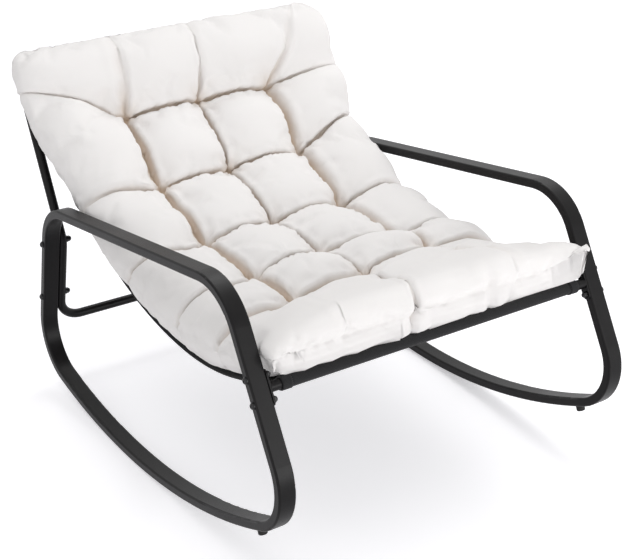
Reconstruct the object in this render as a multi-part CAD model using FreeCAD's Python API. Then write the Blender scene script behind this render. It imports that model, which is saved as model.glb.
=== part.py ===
# Sling rocking chair with a tufted cushion, in millimetres.
# +Z is up, the chair faces -Y, and +X is the sitter's left. The origin is on the floor, midway between
# the two rockers, under the point where they touch it when the chair stands empty.
import FreeCAD
import Part
import math
import os

V = FreeCAD.Vector

# Side loops: flat tube bent into arm, front leg, rocker and rear upright
overall_width = 720.0
loop_tube_width = 32.0
loop_tube_depth = 17.0
loop_wall = 1.5
loop_edge_round = 3.5
arm_height = 446.5          # top of the arm above the floor, straight over the origin
arm_rise = 9.2              # degrees, the arm climbs to the front
leg_slope = 60.2            # degrees from the floor
leg_reach = 598.5           # origin to the front face of the leg, square to that face
upright_lean = 13.4         # degrees, the rear upright leans forward
upright_reach = 360.0       # origin to the rear face of the upright, square to that face
rocker_radius = 1167.0
top_bend_radius = 110.0
bottom_bend_radius = 100.0

# Round tube of the rear frame, the top bar and the front bar
tube_diameter = 18.0
tube_wall = 1.5
tube_bend_radius = 45.0
rear_kink_height = 314.0
strut_lean = 25.6           # degrees, the back struts lean to the rear
strut_length = 330.0        # from the kink to the axis of the top bar
strut_end = 11.0            # strut above the axis of the top bar
rear_bolt_drop = 127.0      # from the kink down to the lower rear bolt
brace_drop = 194.0          # from the kink down to the cross brace
front_bar_height = 354.0

# Bracket plates of the front bar
plate_thickness = 3.0
plate_width = 17.0
plate_end = 9.5             # bolt to the end of the plate
front_bolt_spacing = 40.0
spigot_length = 8.0

# Bolts, washers and cap nuts
bolt_diameter = 6.0
bolt_hole_clearance = 0.25
thread_clearance = 0.15
head_diameter = 11.0
head_height = 3.4
head_flat = 5.6             # flat crown round the socket
head_bulge_height = 0.65    # a point on the dome, as shares of its height and of its run to the crown
head_bulge_run = 0.7
socket_width = 4.0
socket_depth = 2.0
washer_diameter = 13.0
washer_thickness = 1.2
saddle_diameter = 13.0
saddle_rise = 1.6           # saddle washer above the crown of the tube
saddle_wrap = 2.4           # saddle washer down the sides of the tube
nut_width = 10.0
nut_hex_height = 4.6
nut_dome_height = 3.6
nut_bore_depth = 6.4
nut_dome_bulge = 0.72       # a point on the nut's dome, as a share of its height and radius
thread_end_gap = 0.4        # end of a bolt to the end of the nut's bore
insert_length = 22.0
insert_setback = 4.0        # strut to the threaded plug inside the top bar
insert_engaged = 0.7        # share of the plug that the bolt goes into
fit_clearance = 0.1

# Plastic strut caps
cap_height = 3.0
cap_plug_length = 5.0
cap_round_share = 0.8       # rounding of the cap's rim, as a share of its height

# Rubber feet under the front ends of the rockers
foot_setback = 25.3         # from the rocker's front bend back to the middle of the foot
foot_diameter = 16.0
foot_height = 12.0
foot_round = 3.0
foot_stem_diameter = 8.0
foot_stem_length = 6.0

# Sling
sling_side_gap = 22.0       # side edge of the sling to the side loop
sling_thickness = 1.2
sling_low_place = 178.0     # lowest line of the sling, from the origin towards the front
sling_low_height = 274.0
sleeve_clearance = 0.3
sleeve_hem = 28.0

# Cushion
cushion_clearance = 0.6
cushion_side_gap = 4.0      # widest puffs to the side loops
cushion_flare = 23.0        # the cushion widens by this on each side above the arms
flare_run = 180.0           # along the sling, over which it widens
cushion_draw_in = 5.0       # sides at a row of tufts
cushion_under_cut = 40.0    # seam to the edge of the flat underside
under_bulge_run = 0.22      # a point on the round below the seam, as shares of the under cut and the seam height
under_bulge_height = 0.4
tuft_rows = 5
tuft_columns = 3
tuft_row_pitch = 175.0
first_tuft_row = -125.0     # along the sling from its lowest line, towards the back
seat_tuft_height = 88.0
back_tuft_height = 34.0
crease_rise = 15.0          # middle of a crease above the tufts at its ends
puff_rise = 42.0            # crown of an inner puff above its tufts
seat_side_rise = 22.0       # crown of an outer puff above its tufts
back_side_rise = 56.0
shoulder_share = 0.6        # crown of the outer puffs, as a share of the way to the side seam
seat_seam_height = 48.0
back_seam_height = 27.0
front_seam_height = 40.0
front_fan = 42.0            # degrees, the nose turns over the front bar
top_overhang = 178.0        # top seam from the last row of tufts
top_corner_round = 40.0
seam_lip = 0.15             # share of the thickness that is left at the front and top seams
under_lift = 0.2            # lift of the underside at the ends, against the fall of the top
end_round_start = 0.38      # share of the overhang before the ends round over
top_sections = (0, 0.3, 0.55, 0.75, 0.9, 0.97, 1)
front_sections = (0, 0.35, 0.65, 0.85, 1)   # shares of the way to the front bar
fan_sections = (0, 0.4, 0.75, 1)            # shares of the turn over the bar
puff_sections = (0, 0.2, 0.5, 0.8, 1)       # shares of the way between two rows of tufts

tube_radius = tube_diameter / 2
bolt_radius = bolt_diameter / 2
hole_radius = bolt_radius + bolt_hole_clearance
loop_outer_face = overall_width / 2
loop_inner_face = loop_outer_face - loop_tube_width
strut_place = loop_inner_face - tube_radius
sleeve_radius = tube_radius + sleeve_clearance + sling_thickness
sling_width = 2 * (loop_inner_face - sling_side_gap)
cushion_half_width = loop_inner_face - cushion_side_gap
tuft_column_pitch = 2 * cushion_half_width / (tuft_columns + 1)
sides = (("right", -1), ("left", 1))


def heading(angle):
    """Unit vector in the side view, with the angle in degrees from +Y towards +Z."""
    a = math.radians(angle)
    return V(0, math.cos(a), math.sin(a))


def angle_of(vector):
    return math.degrees(math.atan2(vector.z, vector.y))


def meet(normal_a, reach_a, normal_b, reach_b):
    """Point of the side view on two lines, each given by its normal and its distance from the origin."""
    det = normal_a.y * normal_b.z - normal_a.z * normal_b.y
    y = (reach_a * normal_b.z - reach_b * normal_a.z) / det
    z = (normal_a.y * reach_b - normal_b.y * reach_a) / det
    return V(0, y, z)


arm_normal = heading(90 - arm_rise)
arm_reach = arm_height * arm_normal.z
leg_normal = heading(90 + leg_slope)
leg_along = heading(leg_slope)
upright_normal = heading(upright_lean)
upright_up = heading(90 + upright_lean)
strut_up = heading(90 - strut_lean)
rocker_centre = V(0, 0, rocker_radius)


def rocker_bend_centre(normal, reach):
    """Centre of the bend between the rocker and a straight member."""
    off = reach - bottom_bend_radius - normal.dot(rocker_centre)
    run = math.sqrt((rocker_radius - bottom_bend_radius) ** 2 - off ** 2)
    along = V(0, -normal.z, normal.y)
    ends = [rocker_centre + normal * off + along * run, rocker_centre + normal * off - along * run]
    return min(ends, key=lambda point: point.z)


front_top = meet(arm_normal, arm_reach - top_bend_radius, leg_normal, leg_reach - top_bend_radius)
rear_top = meet(upright_normal, upright_reach - top_bend_radius, arm_normal, arm_reach - top_bend_radius)
front_bottom = rocker_bend_centre(leg_normal, leg_reach)
rear_bottom = rocker_bend_centre(upright_normal, upright_reach)
rocker_front_angle = angle_of(front_bottom - rocker_centre) % 360
rocker_rear_angle = angle_of(rear_bottom - rocker_centre) % 360

# Places of the cross members in the side view
leg_middle = leg_reach - loop_tube_depth / 2
upright_middle = upright_reach - loop_tube_depth / 2
front_bar_axis = meet(leg_normal, leg_middle, V(0, 0, 1), front_bar_height)
front_bolt_places = [front_bar_axis + leg_along * (front_bolt_spacing / 2 * end) for end in (1, -1)]
kink = meet(upright_normal, upright_middle, V(0, 0, 1), rear_kink_height)
brace_axis = kink - upright_up * brace_drop
top_bar_axis = kink + strut_up * strut_length
strut_top = top_bar_axis + strut_up * strut_end


def corner_arc(before, corner, after, radius):
    """Start, middle and end of the arc that rounds a corner."""
    back = (before - corner).normalize()
    on = (after - corner).normalize()
    half = back.getAngle(on) / 2
    run = radius / math.tan(half)
    middle = corner + (back + on).normalize() * (radius / math.sin(half) - radius)
    return corner + back * run, middle, corner + on * run


upper_rear_bolt = corner_arc(strut_top, kink, brace_axis, tube_bend_radius)[1]
rear_bolt_places = [upper_rear_bolt, kink - upright_up * rear_bolt_drop]


def at_x(point, x):
    return V(x, point.y, point.z)


def rod(radius, point, x_start, x_end):
    """Round bar along X between two places."""
    return Part.makeCylinder(radius, abs(x_end - x_start), at_x(point, min(x_start, x_end)), V(1, 0, 0))


def arc(centre, radius, start, end):
    """Arc of the side view between two angles in degrees."""
    points = [centre + heading(a) * radius for a in (start, (start + end) / 2, end)]
    return Part.Arc(*points).toShape()


def join(edges):
    """Wire through edges in order, with a straight run wherever two of them stand apart."""
    chain = []
    for edge, following in zip(edges, edges[1:] + edges[:1]):
        chain.append(edge)
        start = edge.lastVertex().Point
        end = following.firstVertex().Point
        if start.distanceToPoint(end) > 1e-6:
            chain.append(Part.makeLine(start, end))
    return Part.Wire(chain)


def loop_outline(inset):
    """Closed outline of a side loop, inset from its outer face."""
    leg = 90 + leg_slope
    upright = 360 + upright_lean
    arm = 90 - arm_rise
    return join([
        arc(front_top, top_bend_radius - inset, arm, leg),
        arc(front_bottom, bottom_bend_radius - inset, leg, rocker_front_angle),
        arc(rocker_centre, rocker_radius - inset, rocker_front_angle, rocker_rear_angle),
        arc(rear_bottom, bottom_bend_radius - inset, rocker_rear_angle, upright),
        arc(rear_top, top_bend_radius - inset, upright, 360 + arm),
    ])


def loop_ring(outer_inset, inner_inset, x_start, width):
    """Band between two insets of the loop's outline, extruded across the chair."""
    band = Part.Face(loop_outline(outer_inset)).cut(Part.Face(loop_outline(inner_inset)))
    band.translate(V(x_start, 0, 0))
    return band.extrude(V(width, 0, 0))


foot_normal = heading(rocker_front_angle + math.degrees(foot_setback / rocker_radius))
foot_seat = rocker_centre + foot_normal * rocker_radius


def side_loop(side):
    """Hollow flat tube loop with its bolt holes and the hole for the foot's stem."""
    x_start = min(side * loop_inner_face, side * loop_outer_face)
    tube = loop_ring(0, loop_tube_depth, x_start, loop_tube_width)
    long_edges = [edge for edge in tube.Edges if edge.BoundBox.XLength < 0.01]
    tube = tube.makeFillet(loop_edge_round, long_edges)
    hollow_width = loop_tube_width - 2 * loop_wall
    tube = tube.cut(loop_ring(loop_wall, loop_tube_depth - loop_wall, x_start + loop_wall, hollow_width))
    for place in front_bolt_places + rear_bolt_places:
        tube = tube.cut(rod(hole_radius, place, x_start - 1, x_start + loop_tube_width + 1))
    middle = x_start + loop_tube_width / 2
    stem_hole = Part.makeCylinder(foot_stem_diameter / 2 + fit_clearance, 2 * loop_wall + 1,
                                  at_x(foot_seat, middle) + foot_normal, -foot_normal)
    return tube.cut(stem_hole)


def round_path(points, radius):
    """Wire through points with every corner rounded."""
    edges = []
    start = points[0]
    for before, corner, after in zip(points, points[1:], points[2:]):
        bend = corner_arc(before, corner, after, radius)
        edges.append(Part.makeLine(start, bend[0]))
        edges.append(Part.Arc(*bend).toShape())
        start = bend[2]
    edges.append(Part.makeLine(start, points[-1]))
    return Part.Wire(edges)


rear_path_points = ([at_x(p, -strut_place) for p in (strut_top, kink, brace_axis)]
                    + [at_x(p, strut_place) for p in (brace_axis, kink, strut_top)])


def rear_bar(radius):
    """Solid round bar along the bent path of the rear frame."""
    path = round_path(rear_path_points, tube_bend_radius)
    ring = Part.Wire(Part.makeCircle(radius, rear_path_points[0], -strut_up))
    return path.makePipeShell([ring], True, False)


def rear_frame():
    """Bent tube: struts, runs along the uprights and the cross brace."""
    tube = rear_bar(tube_radius).cut(rear_bar(tube_radius - tube_wall))
    for side_name, side in sides:
        for place in rear_bolt_places + [top_bar_axis]:
            tube = tube.cut(rod(hole_radius, place, side * (strut_place - tube_diameter),
                                side * (strut_place + tube_diameter)))
    return tube


def top_bar():
    """Straight tube with saddle ends that fit the round struts."""
    bar = rod(tube_radius, top_bar_axis, -strut_place, strut_place)
    bore = rod(tube_radius - tube_wall, top_bar_axis, -strut_place, strut_place)
    return bar.cut(bore).cut(rear_bar(tube_radius + fit_clearance / 2))


def front_bar():
    half = loop_inner_face - plate_thickness
    bar = rod(tube_radius, front_bar_axis, -half, half)
    return bar.cut(rod(tube_radius - tube_wall, front_bar_axis, -half, half))


def front_bracket(side):
    """Round-ended plate with two bolt holes and a spigot in the end of the front bar."""
    x_plate = side * loop_inner_face
    x_inner = side * (loop_inner_face - plate_thickness)
    half = front_bolt_spacing / 2 + plate_end - plate_width / 2
    ends = [front_bar_axis + leg_along * half, front_bar_axis - leg_along * half]
    across = heading(leg_slope + 90) * (plate_width / 2)
    corners = [at_x(p, x_plate) for p in (ends[0] + across, ends[1] + across, ends[1] - across, ends[0] - across)]
    tips = [at_x(ends[1] - leg_along * (plate_width / 2), x_plate),
            at_x(ends[0] + leg_along * (plate_width / 2), x_plate)]
    outline = Part.Wire([
        Part.makeLine(corners[0], corners[1]),
        Part.Arc(corners[1], tips[0], corners[2]).toShape(),
        Part.makeLine(corners[2], corners[3]),
        Part.Arc(corners[3], tips[1], corners[0]).toShape(),
    ])
    plate = Part.Face(outline).extrude(V(-side * plate_thickness, 0, 0))
    for place in front_bolt_places:
        plate = plate.cut(rod(hole_radius, place, x_plate + side, x_inner - side))
    spigot = rod(tube_radius - tube_wall - fit_clearance, front_bar_axis, x_inner, x_inner - side * spigot_length)
    return plate.fuse(spigot).removeSplitter()


def spun(profile, point, outwards):
    """Solid of revolution about X: profile gives (distance outwards, radius) corners or (through, end) arcs."""
    edges = []
    here = None
    for step in profile:
        stops = step if isinstance(step[0], tuple) else (step,)
        spots = [V(point.x + outwards * along, point.y + radius, point.z) for along, radius in stops]
        if here is not None and len(spots) == 2:
            edges.append(Part.Arc(here, spots[0], spots[1]).toShape())
        elif here is not None:
            edges.append(Part.makeLine(here, spots[0]))
        here = spots[-1]
    edges.append(Part.makeLine(here, edges[0].firstVertex().Point))
    return Part.Face(Part.Wire(edges)).revolve(point, V(1, 0, 0), 360)


def hexagon(width, point, outwards, height):
    """Hexagonal prism along X."""
    corner_radius = width / math.sqrt(3)
    corners = [point + heading(60 * i) * corner_radius for i in range(7)]
    return Part.Face(Part.makePolygon(corners)).extrude(V(outwards * height, 0, 0))


def bolt(place, outwards, seat, shank_length):
    """Dome head bolt with a hexagon socket; seat is the face under its head."""
    point = at_x(place, outwards * seat)
    shoulder = head_diameter / 2
    crown = head_flat / 2
    bulge = (head_height * head_bulge_height, crown + (shoulder - crown) * head_bulge_run)
    body = spun([(-shank_length, 0), (-shank_length, bolt_radius), (0, bolt_radius), (0, shoulder),
                 (bulge, (head_height, crown)), (head_height, 0)], point, outwards)
    top = at_x(place, outwards * (seat + head_height))
    return body.cut(hexagon(socket_width, top, -outwards, socket_depth))


def washer(place, outwards, seat):
    disc = rod(washer_diameter / 2, place, outwards * seat, outwards * (seat + washer_thickness))
    return disc.cut(rod(hole_radius, place, outwards * (seat - 1), outwards * (seat + washer_thickness + 1)))


def saddle_washer(place, side, outwards):
    """Washer whose one face is hollowed to sit on the round tube of the rear frame."""
    crown = strut_place + outwards * tube_radius
    low = side * (crown - outwards * saddle_wrap)
    high = side * (crown + outwards * saddle_rise)
    disc = rod(saddle_diameter / 2, place, low, high)
    disc = disc.cut(rod(hole_radius, place, low - side * outwards, high + side * outwards))
    return disc.cut(rear_bar(tube_radius + fit_clearance / 2))


def cap_nut(place, side, seat):
    """Hexagon cap nut that faces the middle of the chair."""
    point = at_x(place, side * seat)
    flat = nut_width / 2
    dome = spun([(0, 0), (0, flat), (nut_hex_height, flat),
                 ((nut_hex_height + nut_dome_height * nut_dome_bulge, flat * nut_dome_bulge),
                  (nut_hex_height + nut_dome_height, 0))], point, -side)
    nut = dome.fuse(hexagon(nut_width, point, -side, nut_hex_height)).removeSplitter()
    return nut.cut(rod(bolt_radius + thread_clearance, place, side * seat, side * (seat - nut_bore_depth)))


bolt_seat = loop_outer_face + washer_thickness
front_nut_seat = loop_inner_face - plate_thickness
rear_nut_seat = strut_place - tube_radius - saddle_rise
top_bolt_seat = strut_place + tube_radius + saddle_rise
insert_face = strut_place - tube_radius - insert_setback
thread_engaged = nut_bore_depth - thread_end_gap


def strut_cap(side):
    """Domed plug in the open top of a strut."""
    top = at_x(strut_top, side * strut_place)
    plug = Part.makeCylinder(tube_radius - tube_wall - fit_clearance, cap_plug_length, top - strut_up * cap_plug_length,
                             strut_up)
    rim = Part.makeCylinder(tube_radius, cap_height, top, strut_up)
    edges = [edge for edge in rim.Edges if (edge.CenterOfMass - top).dot(strut_up) > cap_height * 0.9]
    return rim.makeFillet(cap_height * cap_round_share, edges).fuse(plug).removeSplitter()


def rubber_foot(side):
    """Round bumper with its push-in stem, square to the rocker."""
    seat = at_x(foot_seat, side * (loop_outer_face - loop_tube_width / 2))
    pad = Part.makeCylinder(foot_diameter / 2, foot_height, seat, foot_normal)
    edges = [edge for edge in pad.Edges if (edge.CenterOfMass - seat).dot(foot_normal) > foot_height * 0.9]
    stem = Part.makeCylinder(foot_stem_diameter / 2, foot_stem_length, seat, -foot_normal)
    return pad.makeFillet(foot_round, edges).fuse(stem).removeSplitter()


# Path of the sling in the side view: an arc to each side of its lowest line, then a straight run to each bar.
# Each arc is as wide as it can be with the cushion on it just clear of the bar's sleeve.
sling_low = V(0, -sling_low_place, sling_low_height)
cushion_low = sling_low + V(0, 0, sling_thickness + cushion_clearance)
bar_clear_radius = sleeve_radius + cushion_clearance


def cushion_radius(bar_axis):
    """Radius of the arc that starts level at the lowest line and passes over a bar."""
    gap = bar_axis - cushion_low
    return (gap.dot(gap) - bar_clear_radius ** 2) / (2 * (gap.z + bar_clear_radius))


cushion_front_radius = cushion_radius(front_bar_axis)
cushion_back_radius = cushion_radius(top_bar_axis)
sling_front_radius = cushion_front_radius + sling_thickness + cushion_clearance
sling_back_radius = cushion_back_radius + sling_thickness + cushion_clearance
sling_front_centre = sling_low + V(0, 0, sling_front_radius)
sling_back_centre = sling_low + V(0, 0, sling_back_radius)


def under_tangent(centre, radius, bar_axis, bar_radius, turn):
    """Angle at which a straight run leaves a sling arc to pass under a bar; turn is its side."""
    gap = bar_axis - centre
    return angle_of(gap) + turn * math.degrees(math.acos((radius - bar_radius) / gap.Length))


sling_front_angle = under_tangent(sling_front_centre, sling_front_radius, front_bar_axis, sleeve_radius, 1) % 360
sling_back_angle = under_tangent(sling_back_centre, sling_back_radius, top_bar_axis, sleeve_radius, -1) % 360


def sling_layer(low, high):
    """Closed strip of the sling's sheet between two distances above its underside, in the side view."""
    def line(height):
        front = arc(sling_front_centre, sling_front_radius - height, sling_front_angle, 270)
        back = arc(sling_back_centre, sling_back_radius - height, 270, sling_back_angle)
        start = front_bar_axis + heading(sling_front_angle) * (sleeve_radius - height)
        end = top_bar_axis + heading(sling_back_angle) * (sleeve_radius - height)
        return [Part.makeLine(start, front.firstVertex().Point), front, back,
                Part.makeLine(back.lastVertex().Point, end)], start, end
    under, under_start, under_end = line(low)
    over, over_start, over_end = line(high)
    return Part.Wire(under + [Part.makeLine(under_end, over_end)] + over[::-1]
                     + [Part.makeLine(over_start, under_start)])


def hem(bar_axis, angle, turn):
    """Second layer of cloth where the sleeve's edge is sewn down on the sheet."""
    out = heading(angle)
    along = heading(angle + turn * 90)
    corners = [bar_axis + out * (sleeve_radius - sling_thickness), bar_axis + out * (sleeve_radius - sling_thickness)
               + along * sleeve_hem]
    corners += [corners[1] - out * sling_thickness, corners[0] - out * sling_thickness]
    return Part.Face(Part.makePolygon(corners + corners[:1]))


def across_sling(face):
    face.translate(V(-sling_width / 2, 0, 0))
    return face.extrude(V(sling_width, 0, 0))


def sling():
    """Cloth sheet with a sleeve round each bar."""
    cloth = across_sling(Part.Face(sling_layer(0, sling_thickness)))
    pieces = []
    for bar_axis, angle, turn in ((front_bar_axis, sling_front_angle, 1), (top_bar_axis, sling_back_angle, -1)):
        pieces.append(rod(sleeve_radius, bar_axis, -sling_width / 2, sling_width / 2))
        pieces.append(across_sling(hem(bar_axis, angle, turn)))
    cloth = cloth.multiFuse(pieces)
    for bar_axis in (front_bar_axis, top_bar_axis):
        cloth = cloth.cut(rod(tube_radius + sleeve_clearance, bar_axis, -sling_width, sling_width))
    return cloth.removeSplitter()


# Cushion: sections stand square to the sling, at a distance along it from its lowest line


def blend(value, start, end):
    """Smooth step from 0 at start to 1 at end."""
    t = min(1.0, max(0.0, (value - start) / (end - start)))
    return t * t * (3 - 2 * t)


def tuft_row_place(row):
    return first_tuft_row + row * tuft_row_pitch


back_share_start = tuft_row_place(1)
back_share_end = tuft_row_place(tuft_rows - 2)
bar_lean = 270 - angle_of(front_bar_axis - sling_front_centre) % 360
bar_place = -cushion_front_radius * math.radians(bar_lean)
fan_radius = bar_clear_radius + front_seam_height
front_seam_place = bar_place - fan_radius * math.radians(front_fan)
top_seam_place = tuft_row_place(tuft_rows - 1) + top_overhang


def cushion_stand(place):
    """Foot and upward direction of a section: square to the sling, then fanned over the front bar."""
    if place < bar_place:
        up = heading(90 - bar_lean + math.degrees((bar_place - place) / fan_radius))
        return front_bar_axis + up * bar_clear_radius, up
    if place < 0:
        centre, radius = sling_front_centre, cushion_front_radius
    else:
        centre, radius = sling_back_centre, cushion_back_radius
    up = heading(90 + math.degrees(place / radius))
    return centre - up * radius, up


def arms_passed():
    """Place along the sling where the underside of the cushion comes out over the arms' rear bends."""
    gap = rear_top - sling_back_centre
    cosine = (gap.dot(gap) + cushion_back_radius ** 2 - top_bend_radius ** 2) / (2 * gap.Length * cushion_back_radius)
    lean = angle_of(gap) % 360 - 270 + math.degrees(math.acos(cosine))
    return cushion_back_radius * math.radians(lean)


flare_start = arms_passed()


def cushion_section(place, puffed, fill=1.0, inset=0.0):
    """Outline across the cushion. puffed is 0 on a row of tufts and 1 midway between two; fill thins the ends."""
    back_share = blend(place, back_share_start, back_share_end)
    tuft = seat_tuft_height + (back_tuft_height - seat_tuft_height) * back_share
    front_share = 1 - blend(place, front_seam_place, first_tuft_row)
    seam = seat_seam_height + (back_seam_height - seat_seam_height) * back_share
    seam += (front_seam_height - seat_seam_height) * front_share
    half = cushion_half_width + cushion_flare * blend(place, flare_start, flare_start + flare_run)
    half -= cushion_draw_in * (1 - puffed) + inset
    valley = tuft + crease_rise * puffed
    crown = tuft + crease_rise + (puff_rise - crease_rise) * puffed
    side_rise = seat_side_rise + (back_side_rise - seat_side_rise) * back_share
    side_crown = tuft + side_rise * (crease_rise + (puff_rise - crease_rise) * puffed) / puff_rise
    columns = [(i - (tuft_columns - 1) / 2) * tuft_column_pitch for i in range(tuft_columns)]
    foot, up = cushion_stand(place)

    def spot(x, height):
        share = fill if height > seam else 1 - under_lift * (1 - fill)
        held = seam + (height - seam) * share
        return at_x(foot + up * held, x)

    stops = [(-half, seam)] + [(x, valley) for x in columns] + [(half, seam)]
    edges = []
    for (x_a, height_a), (x_b, height_b) in zip(stops, stops[1:]):
        top = spot((x_a + x_b) / 2, crown)
        if x_a == -half:
            top = spot(x_b - (x_b - x_a) * shoulder_share, side_crown)
        if x_b == half:
            top = spot(x_a + (x_b - x_a) * shoulder_share, side_crown)
        edges.append(Part.Arc(spot(x_a, height_a), top, spot(x_b, height_b)).toShape())
    flat = half - cushion_under_cut
    side_middle = half - cushion_under_cut * under_bulge_run
    middle_height = seam * under_bulge_height
    edges.append(Part.Arc(spot(half, seam), spot(side_middle, middle_height), spot(flat, 0)).toShape())
    edges.append(Part.makeLine(spot(flat, 0), spot(-flat, 0)))
    edges.append(Part.Arc(spot(-flat, 0), spot(-side_middle, middle_height), spot(-half, seam)).toShape())
    return Part.Wire(edges)


def rounded_end(seam_place, row_place, shares, corner_round):
    """Loft over the last puffs of the cushion: shares are of the way from a row of tufts to the end seam."""
    sections = []
    for share in shares:
        run_out = max(0.0, share - end_round_start) / (1 - end_round_start)
        fill = math.sqrt(1 - (1 - seam_lip ** 2) * run_out ** 2)
        puffed = min(1.0, math.sqrt(share / end_round_start))
        corner = max(0.0, corner_round - abs(seam_place - row_place) * (1 - share))
        inset = corner_round - math.sqrt(corner_round ** 2 - corner ** 2)
        sections.append(cushion_section(row_place + (seam_place - row_place) * share, puffed, fill, inset))
    return Part.makeLoft(sections, True, False)


def cushion():
    """One long cushion: a loft over each row of puffs, drawn down to the tufts between rows."""
    rows = [tuft_row_place(row) for row in range(tuft_rows)]
    bar_share = (bar_place - rows[0]) / (front_seam_place - rows[0])
    before_bar = [bar_share * step for step in front_sections]
    over_bar = [bar_share + (1 - bar_share) * step for step in fan_sections]
    puffs = [rounded_end(front_seam_place, rows[0], before_bar, 0), rounded_end(front_seam_place, rows[0], over_bar, 0),
             rounded_end(top_seam_place, rows[-1], top_sections, top_corner_round)]
    for start, end in zip(rows, rows[1:]):
        sections = []
        for share in puff_sections:
            puffed = math.sqrt(1 - (2 * share - 1) ** 2)
            sections.append(cushion_section(start + (end - start) * share, puffed))
        puffs.append(Part.makeLoft(sections, True, False))
    return puffs[0].multiFuse(puffs[1:])


def group(solids):
    return Part.makeCompound(solids)


nodes = {
    "rear_frame": rear_frame(),
    "top_bar": top_bar(),
    "front_bar": front_bar(),
    "sling": sling(),
    "cushion": cushion(),
}
for name, side in sides:
    nodes[name + "_side_loop"] = side_loop(side)
    nodes[name + "_front_bracket"] = front_bracket(side)
    nodes[name + "_strut_cap"] = strut_cap(side)
    nodes[name + "_rubber_foot"] = rubber_foot(side)

front_bolts, rear_bolts, top_bar_bolts, inserts = [], [], [], []
washers, saddles, nuts = [], [], []
for name, side in sides:
    for place in front_bolt_places:
        front_bolts.append(bolt(place, side, bolt_seat, bolt_seat - front_nut_seat + thread_engaged))
        washers.append(washer(place, side, loop_outer_face))
        nuts.append(cap_nut(place, side, front_nut_seat))
    for place in rear_bolt_places:
        rear_bolts.append(bolt(place, side, bolt_seat, bolt_seat - rear_nut_seat + thread_engaged))
        washers.append(washer(place, side, loop_outer_face))
        saddles.append(saddle_washer(place, side, -1))
        nuts.append(cap_nut(place, side, rear_nut_seat))
    top_bar_bolts.append(bolt(top_bar_axis, side, top_bolt_seat, top_bolt_seat - insert_face + insert_length * insert_engaged))
    saddles.append(saddle_washer(top_bar_axis, side, 1))
    plug = rod(tube_radius - tube_wall - fit_clearance, top_bar_axis, side * insert_face,
               side * (insert_face - insert_length))
    inserts.append(plug.cut(rod(bolt_radius + thread_clearance, top_bar_axis, side * (insert_face + 1),
                                side * (insert_face - insert_length - 1))))
nodes["front_bolts"] = group(front_bolts)
nodes["rear_bolts"] = group(rear_bolts)
nodes["top_bar_bolts"] = group(top_bar_bolts)
nodes["top_bar_inserts"] = group(inserts)
nodes["bolt_washers"] = group(washers)
nodes["saddle_washers"] = group(saddles)
nodes["cap_nuts"] = group(nuts)

os.makedirs("parts", exist_ok=True)
for node, shape in nodes.items():
    shape.exportStep("parts/" + node + ".step")
    print(node, "solids", len(shape.Solids), "valid", shape.isValid(), "volume", round(shape.Volume))
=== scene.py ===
# %% [markdown]
# # Upholstered rocking chair
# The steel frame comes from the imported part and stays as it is. This script gives it its finishes and makes the
# two soft pieces, the black sling and the tufted cushion, which are only plain solids in the part.

# %% Load the part
import math
import bpy
import numpy as np
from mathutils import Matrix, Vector


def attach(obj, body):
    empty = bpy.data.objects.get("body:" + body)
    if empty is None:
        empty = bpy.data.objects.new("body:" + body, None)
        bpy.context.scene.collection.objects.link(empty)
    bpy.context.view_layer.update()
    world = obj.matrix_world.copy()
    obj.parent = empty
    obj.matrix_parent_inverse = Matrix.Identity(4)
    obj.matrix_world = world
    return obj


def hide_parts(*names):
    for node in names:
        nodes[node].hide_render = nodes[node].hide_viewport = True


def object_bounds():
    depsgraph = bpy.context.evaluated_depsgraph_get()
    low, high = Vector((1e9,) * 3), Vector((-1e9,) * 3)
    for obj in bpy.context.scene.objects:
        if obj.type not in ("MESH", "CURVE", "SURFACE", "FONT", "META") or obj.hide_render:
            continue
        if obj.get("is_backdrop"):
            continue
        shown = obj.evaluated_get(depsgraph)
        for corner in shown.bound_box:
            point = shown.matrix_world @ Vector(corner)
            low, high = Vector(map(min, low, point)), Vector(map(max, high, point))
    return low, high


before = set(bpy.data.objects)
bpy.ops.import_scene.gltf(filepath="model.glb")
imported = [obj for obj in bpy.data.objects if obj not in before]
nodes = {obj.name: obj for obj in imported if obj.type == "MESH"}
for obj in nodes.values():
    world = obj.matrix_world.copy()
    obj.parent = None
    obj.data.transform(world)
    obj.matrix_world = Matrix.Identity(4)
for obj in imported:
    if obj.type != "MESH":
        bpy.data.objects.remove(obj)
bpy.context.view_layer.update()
scene = bpy.context.scene

# %% [markdown]
# ## Camera
# The photo shows the chair from its front right and from a little above. The camera stands where the straight
# tubes and the bends of the photo line up with the part: its place, its turn and its lens were fitted together.

# %% Camera
camera_data = bpy.data.cameras.new("camera")
camera_data.sensor_fit = "HORIZONTAL"
camera_data.sensor_width = 36.0
camera_data.lens = 81.33
camera = bpy.data.objects.new("camera", camera_data)
camera.location = (-1.3321, -2.1152, 1.4650)
camera.rotation_euler = (math.radians(64.2), 0.0, math.radians(-33.91))
scene.collection.objects.link(camera)
scene.camera = camera
scene.view_settings.view_transform = "Standard"
print("camera", tuple(round(v, 3) for v in camera.location), "lens", camera_data.lens)

# %% [markdown]
# ## Helpers
# Every piece and every finish needs the same few steps: a mesh from points and faces, a material, a node with its
# links. They are written once here. A mesh that is built from numbers is exact, and changing one number changes
# the piece.


# %% Helpers for meshes
def new_object(name, points, faces, smooth=True):
    mesh = bpy.data.meshes.new(name)
    mesh.from_pydata([tuple(p) for p in points], [], [tuple(f) for f in faces])
    mesh.polygons.foreach_set("use_smooth", [smooth] * len(mesh.polygons))
    mesh.update()
    made = bpy.data.objects.new(name, mesh)
    scene.collection.objects.link(made)
    return made


def grid_faces(grid):
    """Four-sided faces between the neighbours in a grid of point numbers."""
    return np.stack([grid[:-1, :-1], grid[:-1, 1:], grid[1:, 1:], grid[1:, :-1]], -1).reshape(-1, 4)


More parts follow.
